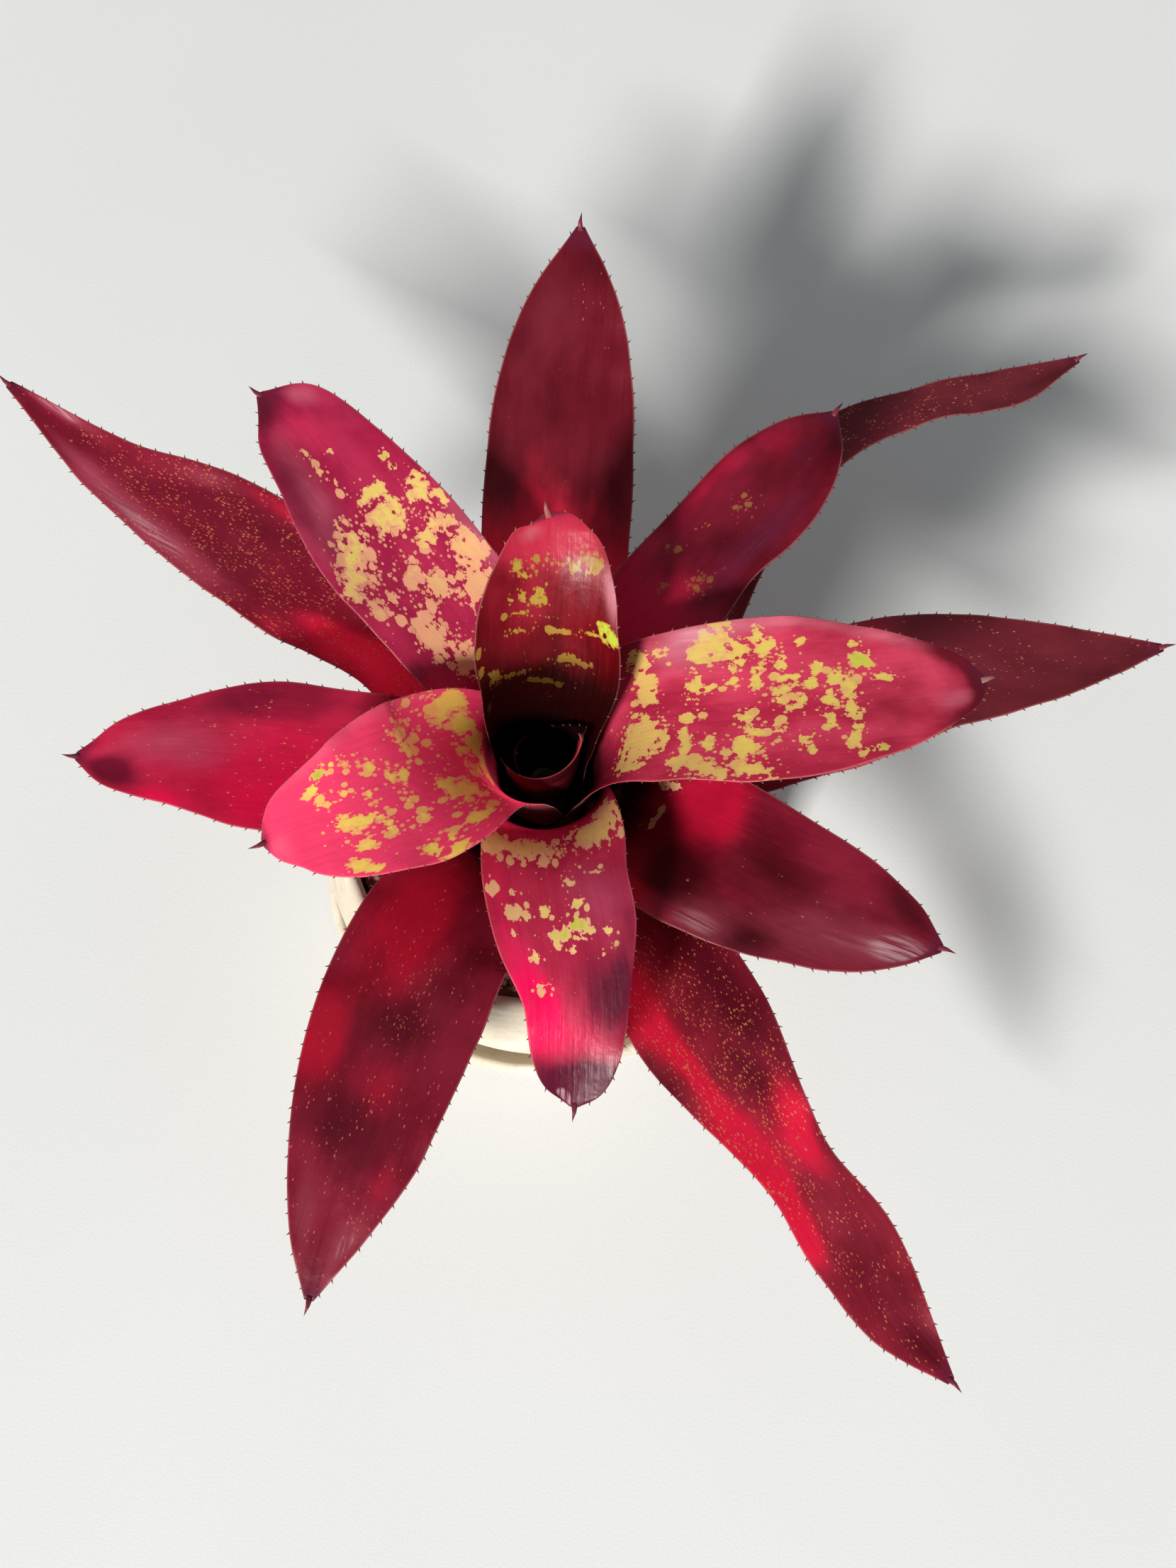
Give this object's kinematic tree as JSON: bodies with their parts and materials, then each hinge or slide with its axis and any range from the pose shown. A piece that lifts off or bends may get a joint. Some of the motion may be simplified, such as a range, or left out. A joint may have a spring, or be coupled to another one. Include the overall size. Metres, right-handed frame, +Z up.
{
  "type": "potted neoregelia bromeliad",
  "caption": "Neoregelia bromeliad, a spiral rosette of red strap leaves, some spotted yellow, round a central tank, in a round cream ceramic pot with gravel on a saucer.",
  "frame": {"origin": "middle of the saucer's flat underside", "axes": "+Z up, the way the rosette opens; +X to the right and +Y away in the usual front view"},
  "size_m": [0.4173, 0.3886, 0.2164],
  "materials": {
    "leaf_spotted": "satin rose-crimson leaf with yellow-lime and tan blotches",
    "leaf_crimson": "satin crimson leaf with fine lengthwise lines and a few tan spots",
    "leaf_maroon": "satin deep crimson to maroon leaf with dense fine pink and gold flecks",
    "stem": "dull green-brown scarred stem",
    "potting_mix": "dark, coarse bark mix",
    "gravel": "matt pinkish-brown pebbles",
    "ceramic": "cream ceramic, faintly mottled, half matt"
  },
  "bodies": {
    "root": {"saucer": "ceramic", "pot": "ceramic", "potting_mix": "potting_mix", "gravel": "gravel", "stem": "stem", "leaf_01": "leaf_spotted", "leaf_02": "leaf_spotted", "leaf_03": "leaf_spotted", "leaf_04": "leaf_spotted", "leaf_05": "leaf_spotted", "leaf_06": "leaf_spotted", "leaf_07": "leaf_spotted", "leaf_08": "leaf_crimson", "leaf_09": "leaf_crimson", "leaf_10": "leaf_crimson", "leaf_11": "leaf_crimson", "leaf_12": "leaf_maroon", "leaf_13": "leaf_maroon", "leaf_14": "leaf_maroon", "leaf_15": "leaf_maroon", "leaf_16": "leaf_maroon"}
  },
  "joints": []
}
